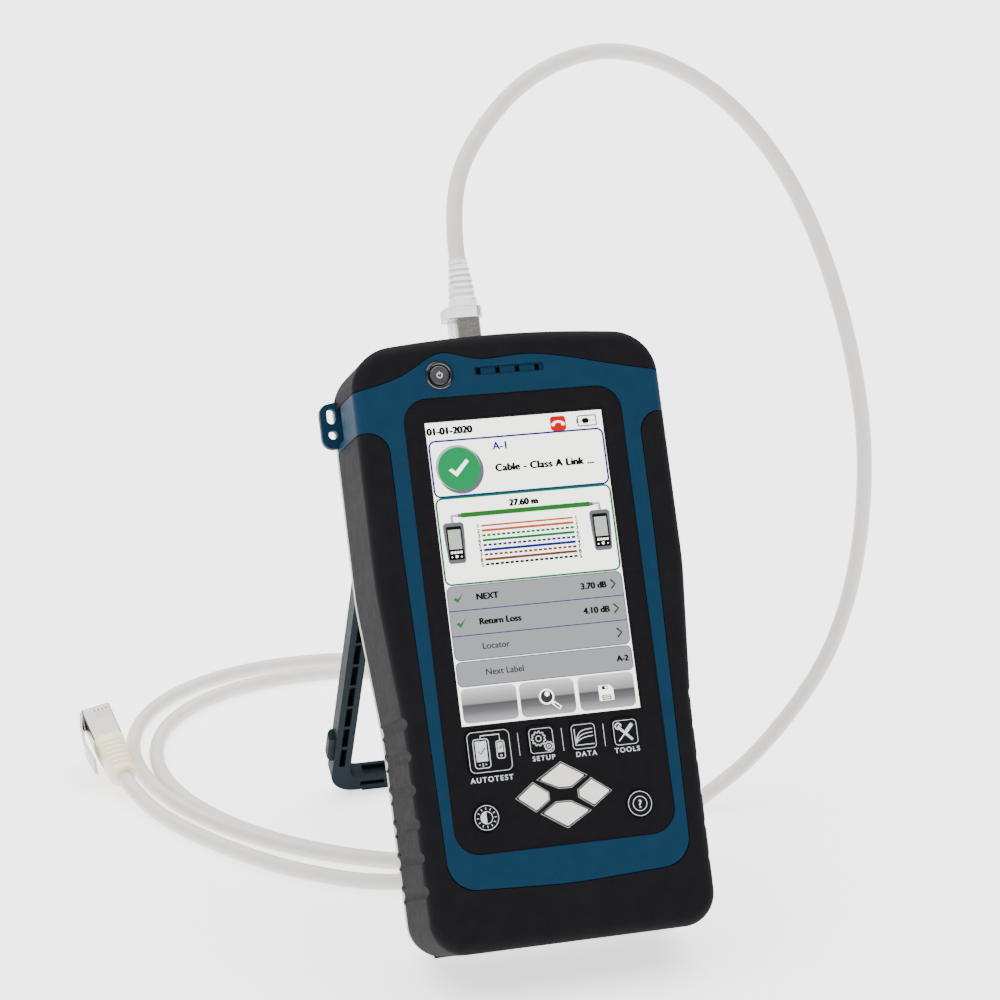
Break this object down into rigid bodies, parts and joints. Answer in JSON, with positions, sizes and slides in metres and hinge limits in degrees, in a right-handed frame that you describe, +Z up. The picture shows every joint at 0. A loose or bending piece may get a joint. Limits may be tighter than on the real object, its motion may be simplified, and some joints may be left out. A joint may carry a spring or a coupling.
{
  "type": "handheld cable tester",
  "caption": "Handheld network cable tester with touch screen, key pad, rubber overmould, fold-out kickstand and a patch cord looping from its top jack to a loose plug",
  "frame": {"origin": "on the table, under the middle of the tester with its stand open, cord left out", "axes": "+Z up from the table, +X to the user's right facing the screen, +Y away from the user towards the stand's foot"},
  "size_m": [0.3585, 0.3779, 0.3501],
  "materials": {
    "blue_plastic": "fine satin texture",
    "grey_plastic": "fine matte texture",
    "overmould_rubber": "soft matte",
    "black_film": "low gloss printed film",
    "screen_glass": "gloss",
    "display": "lit screen",
    "steel_sheet": "satin",
    "circuit_board": "solder mask",
    "key_rubber": "matte",
    "dark_key": "matte",
    "chrome_ring": "polished",
    "stand_plastic": "satin",
    "battery_case": "matte",
    "contact_brass": "bright",
    "plug_metal": "nickel plate",
    "clear_plastic": "clear moulding",
    "beige_boot": "matte",
    "cord_jacket": "smooth jacket"
  },
  "bodies": {
    "tester": {"front_housing": "blue_plastic", "rear_housing": "grey_plastic", "bumper_top": "overmould_rubber", "bumper_lower": "overmould_rubber", "housing_gasket": "overmould_rubber", "face_panel": "black_film", "touch_glass": "screen_glass", "lcd_panel": "display", "lcd_frame": "steel_sheet", "main_board": "circuit_board", "board_shields": "steel_sheet", "board_posts": "steel_sheet", "keypad_board": "circuit_board", "dome_switches": "steel_sheet", "speaker": "battery_case", "power_ring": "chrome_ring", "power_switch": "battery_case", "battery_pack": "battery_case", "battery_contacts": "contact_brass", "battery_door": "grey_plastic", "door_screws": "steel_sheet", "case_screws": "steel_sheet", "jack_housing": "battery_case", "jack_contacts": "contact_brass", "stand_pins": "steel_sheet", "foot_pads": "overmould_rubber", "plug_shell": "plug_metal", "plug_latch": "clear_plastic", "plug_boot": "clear_plastic", "cord_arch": "cord_jacket", "cord_coil": "cord_jacket", "cord_tail": "cord_jacket", "far_plug_shell": "plug_metal", "far_plug_latch": "plug_metal", "far_plug_boot": "beige_boot"},
    "stand_frame": {"stand": "stand_plastic", "stand_pad": "overmould_rubber"},
    "power_button_cap": {"power_button": "dark_key"},
    "key_up_cap": {"key_up": "key_rubber"},
    "key_down_cap": {"key_down": "key_rubber"},
    "key_left_cap": {"key_left": "key_rubber"},
    "key_right_cap": {"key_right": "key_rubber"},
    "key_test_cap": {"key_test": "dark_key"},
    "key_setup_cap": {"key_setup": "dark_key"},
    "key_data_cap": {"key_data": "dark_key"},
    "key_tools_cap": {"key_tools": "dark_key"},
    "key_brightness_cap": {"key_brightness": "dark_key"},
    "key_help_cap": {"key_help": "dark_key"}
  },
  "joints": [
    {"name": "stand_fold", "type": "hinge", "parent": "tester", "child": "stand_frame", "pos_m": [0, 0.02699, 0.16232], "axis": [-1, 0, 0], "range_deg": [0, 54.34], "deforming": ["cord_coil", "cord_tail"]},
    {"name": "power_press", "type": "slide", "parent": "tester", "child": "power_button_cap", "axis": [0, 0.8878, -0.4602], "range_m": [0, 0.0008], "stiffness_N_per_m": 500, "springref_m": -0.002},
    {"name": "key_up_press", "type": "slide", "parent": "tester", "child": "key_up_cap", "axis": [0, 0.8878, -0.4602], "range_m": [0, 0.0005], "stiffness_N_per_m": 400, "springref_m": -0.002},
    {"name": "key_down_press", "type": "slide", "parent": "tester", "child": "key_down_cap", "axis": [0, 0.8878, -0.4602], "range_m": [0, 0.0005], "stiffness_N_per_m": 400, "springref_m": -0.002},
    {"name": "key_left_press", "type": "slide", "parent": "tester", "child": "key_left_cap", "axis": [0, 0.8878, -0.4602], "range_m": [0, 0.0005], "stiffness_N_per_m": 400, "springref_m": -0.002},
    {"name": "key_right_press", "type": "slide", "parent": "tester", "child": "key_right_cap", "axis": [0, 0.8878, -0.4602], "range_m": [0, 0.0005], "stiffness_N_per_m": 400, "springref_m": -0.002},
    {"name": "key_test_press", "type": "slide", "parent": "tester", "child": "key_test_cap", "axis": [0, 0.8878, -0.4602], "range_m": [0, 0.0005], "stiffness_N_per_m": 400, "springref_m": -0.002},
    {"name": "key_setup_press", "type": "slide", "parent": "tester", "child": "key_setup_cap", "axis": [0, 0.8878, -0.4602], "range_m": [0, 0.0005], "stiffness_N_per_m": 400, "springref_m": -0.002},
    {"name": "key_data_press", "type": "slide", "parent": "tester", "child": "key_data_cap", "axis": [0, 0.8878, -0.4602], "range_m": [0, 0.0005], "stiffness_N_per_m": 400, "springref_m": -0.002},
    {"name": "key_tools_press", "type": "slide", "parent": "tester", "child": "key_tools_cap", "axis": [0, 0.8878, -0.4602], "range_m": [0, 0.0005], "stiffness_N_per_m": 400, "springref_m": -0.002},
    {"name": "key_brightness_press", "type": "slide", "parent": "tester", "child": "key_brightness_cap", "axis": [0, 0.8878, -0.4602], "range_m": [0, 0.0005], "stiffness_N_per_m": 400, "springref_m": -0.002},
    {"name": "key_help_press", "type": "slide", "parent": "tester", "child": "key_help_cap", "axis": [0, 0.8878, -0.4602], "range_m": [0, 0.0005], "stiffness_N_per_m": 400, "springref_m": -0.002}
  ]
}
